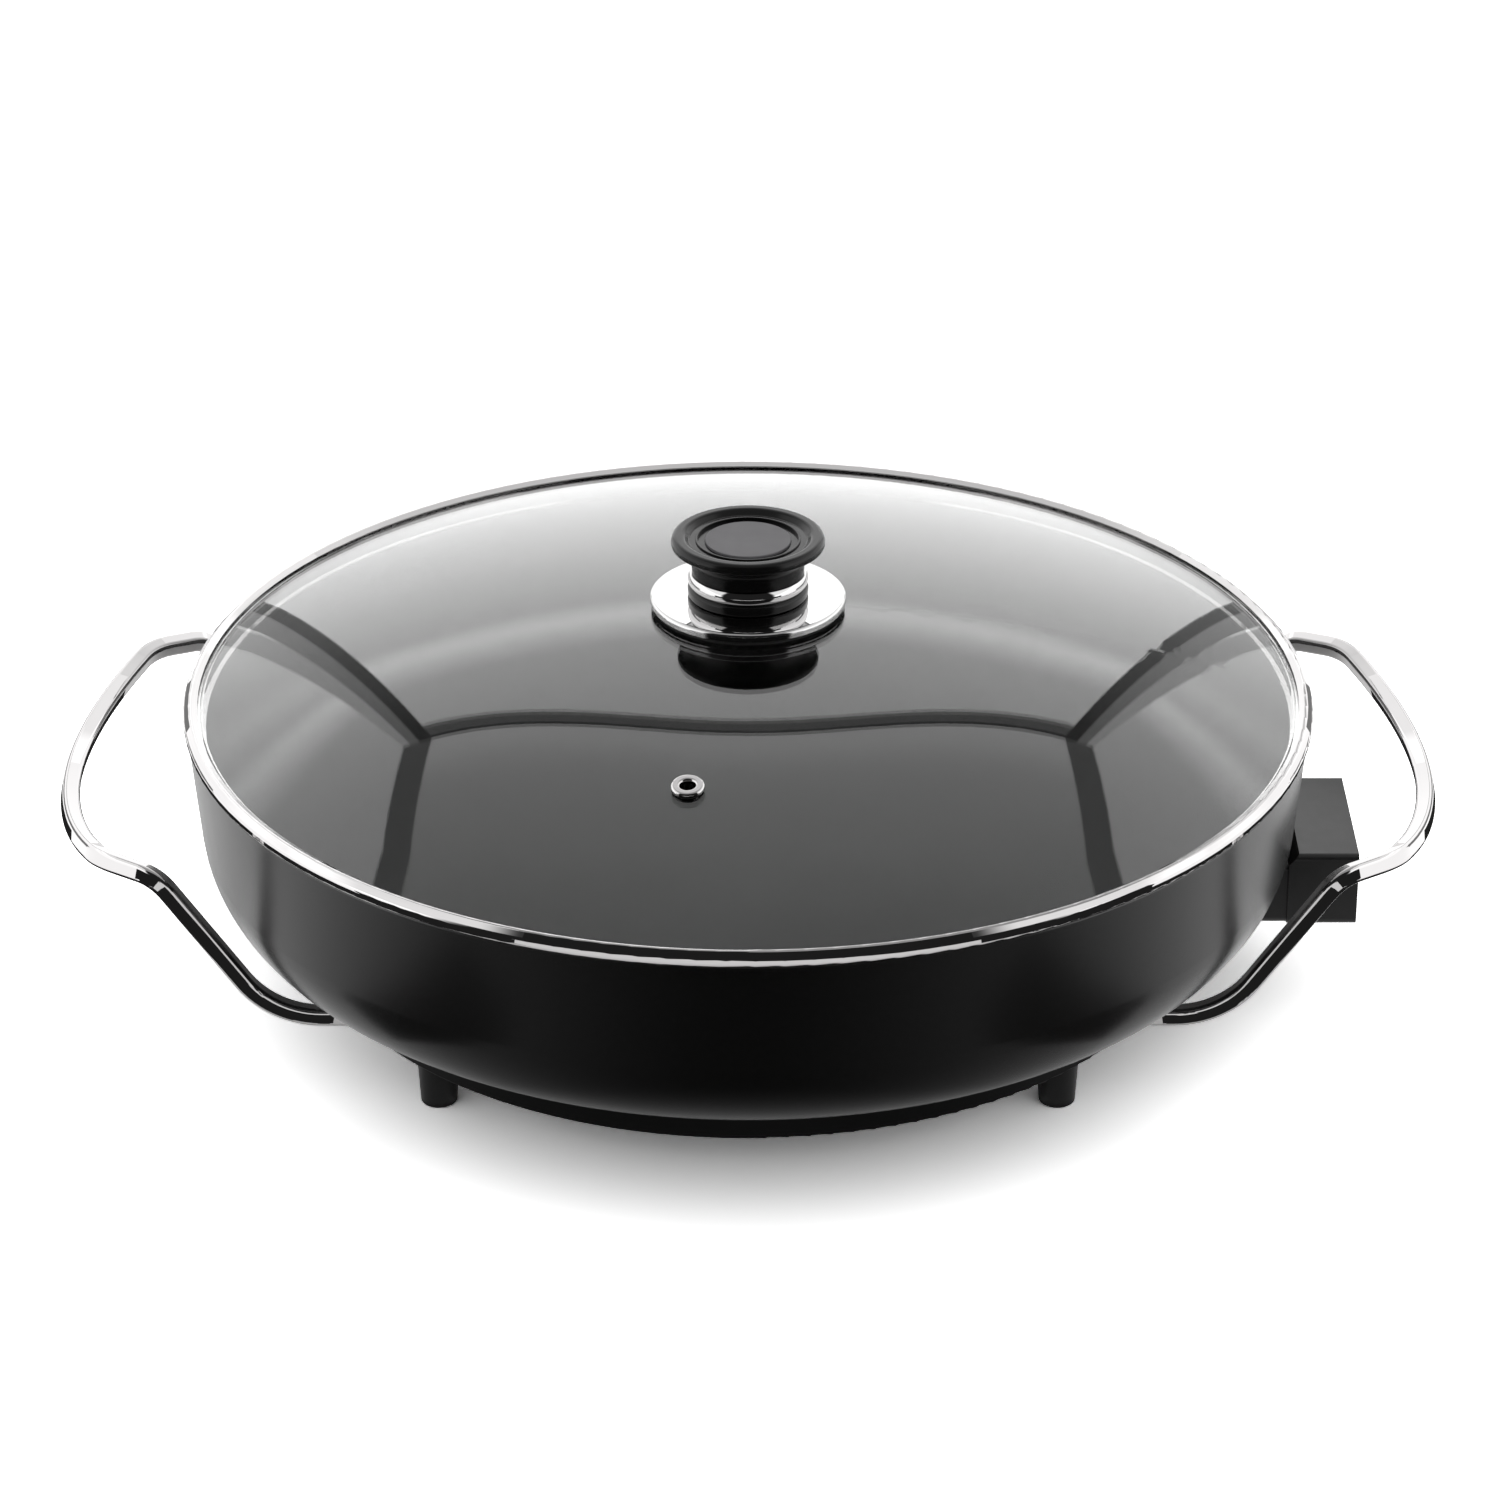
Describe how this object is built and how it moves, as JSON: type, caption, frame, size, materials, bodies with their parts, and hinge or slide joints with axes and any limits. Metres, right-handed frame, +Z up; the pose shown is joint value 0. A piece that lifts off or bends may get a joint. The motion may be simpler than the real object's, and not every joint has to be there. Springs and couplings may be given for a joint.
{
  "type": "electric pizza pan",
  "caption": "Round electric pizza pan with a domed glass lid, bent bar handles, an under-pan heating ring and a socket for a plug-in thermostat.",
  "frame": {"origin": "on the table under the middle of the round pan", "axes": "+Z up, +X towards the thermostat socket and through both handles, -Y to the front of the pan"},
  "size_m": [0.495, 0.404, 0.1776],
  "materials": {
    "pan_coating": "cast aluminium with a satin black non-stick coating",
    "cover_paint": "steel sheet in satin black",
    "foot_plastic": "black heat-proof plastic",
    "socket_plastic": "black heat-proof plastic with a half gloss",
    "handle_chrome": "polished chrome on square steel bar",
    "rim_steel": "polished stainless steel",
    "lid_glass": "clear tempered glass",
    "knob_chrome": "mirror chrome",
    "knob_plastic": "black heat-proof plastic",
    "badge_plastic": "plain dark grey inlay",
    "seal_rubber": "black silicone",
    "element_steel": "dull heat-stained steel",
    "screw_steel": "zinc-plated steel",
    "pin_steel": "nickel-plated steel",
    "contact_brass": "plain brass",
    "bead_ceramic": "unglazed white ceramic"
  },
  "bodies": {
    "pan": {"bottom_cover": "cover_paint", "cover_screw": "screw_steel", "earth_contact": "contact_brass", "element_clip_1": "element_steel", "element_clip_2": "element_steel", "element_clip_3": "element_steel", "foot_front_left": "foot_plastic", "foot_front_right": "foot_plastic", "foot_rear_left": "foot_plastic", "foot_rear_right": "foot_plastic", "foot_screw_front_left": "screw_steel", "foot_screw_front_right": "screw_steel", "foot_screw_rear_left": "screw_steel", "foot_screw_rear_right": "screw_steel", "foot_spacer_front_left": "element_steel", "foot_spacer_front_right": "element_steel", "foot_spacer_rear_left": "element_steel", "foot_spacer_rear_right": "element_steel", "handle_left": "handle_chrome", "handle_right": "handle_chrome", "heating_element": "element_steel", "pan_body": "pan_coating", "probe_tube": "element_steel", "socket_base": "socket_plastic", "socket_hood": "socket_plastic", "socket_screw_front": "screw_steel", "socket_screw_rear": "screw_steel", "terminal_bead_front": "bead_ceramic", "terminal_bead_rear": "bead_ceramic", "terminal_pin_front": "pin_steel", "terminal_pin_rear": "pin_steel"},
    "lid_rim": {"lid_rim_band": "rim_steel"},
    "lid": {"lid_glass": "lid_glass", "vent_eyelet": "rim_steel", "vent_washer": "seal_rubber", "knob_seal": "seal_rubber", "knob_plate": "knob_chrome", "knob_collar": "knob_plastic", "knob_ring": "knob_chrome", "knob_grip": "knob_plastic", "knob_badge": "badge_plastic", "knob_insert": "contact_brass", "under_seal": "seal_rubber", "knob_washer": "rim_steel", "knob_screw": "screw_steel"}
  },
  "joints": [
    {"name": "lid_lift", "type": "slide", "parent": "pan", "child": "lid_rim", "axis": [0, 0, 1], "range_m": [0, 0.15]},
    {"name": "lid_turn", "type": "hinge", "parent": "lid_rim", "child": "lid", "pos_m": [0, 0, 0.1168], "axis": [0, 0, 1], "continuous": true}
  ]
}
